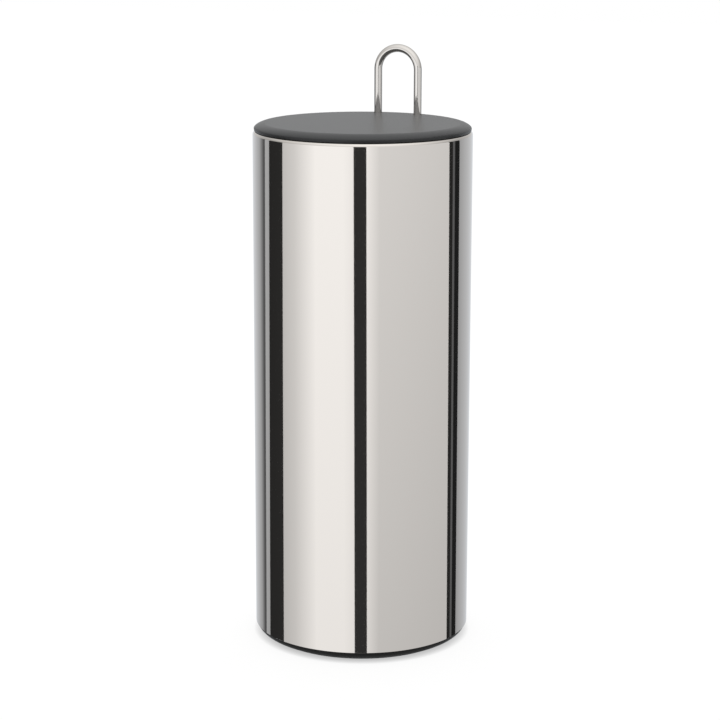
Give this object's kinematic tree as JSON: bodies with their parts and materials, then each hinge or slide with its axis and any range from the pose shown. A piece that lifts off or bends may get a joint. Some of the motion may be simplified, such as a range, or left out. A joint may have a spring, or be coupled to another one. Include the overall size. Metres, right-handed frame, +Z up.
{
  "type": "toilet roll storage canister",
  "caption": "Polished steel cylinder that stores stacked toilet rolls, with a dark soft-touch lid and a wire loop that lifts lid, tray and rolls out together.",
  "frame": {"origin": "on the floor, under the centre of the steel tube", "axes": "+Z up along the tube's axis, front towards -Y, wire loop at the back towards +Y, +X to the right seen from the front"},
  "size_m": [0.1456, 0.1456, 0.3975],
  "materials": {
    "polished_steel": "mirror-polished stainless steel sheet",
    "base_plastic": "fine-textured black moulding",
    "foot_rubber": "matt non-slip rubber",
    "polished_wire": "polished stainless steel wire",
    "soft_touch": "satin soft-touch skin, dark grey",
    "lid_plastic": "plain dark grey moulding",
    "soft_rubber": "matt black silicone",
    "fastener_steel": "plain stainless steel",
    "tray_plastic": "plain dark grey moulding"
  },
  "bodies": {
    "canister": {"canister_shell": "polished_steel", "base_moulding": "base_plastic", "foot_ring": "foot_rubber"},
    "carrier": {"loop_handle": "polished_wire", "lid_cap": "soft_touch", "lid_core": "lid_plastic", "lid_seal": "soft_rubber", "leg_bush_left": "soft_rubber", "leg_bush_right": "soft_rubber", "leg_clips": "fastener_steel", "lid_screws": "fastener_steel", "roll_tray": "tray_plastic", "tray_pad_front": "soft_rubber", "tray_pad_left": "soft_rubber", "tray_pad_right": "soft_rubber", "tray_screws": "fastener_steel", "tray_washers": "fastener_steel"}
  },
  "joints": [
    {"name": "carrier_lift", "type": "slide", "parent": "canister", "child": "carrier", "axis": [0, 0, 1], "range_m": [0, 0.36]}
  ]
}
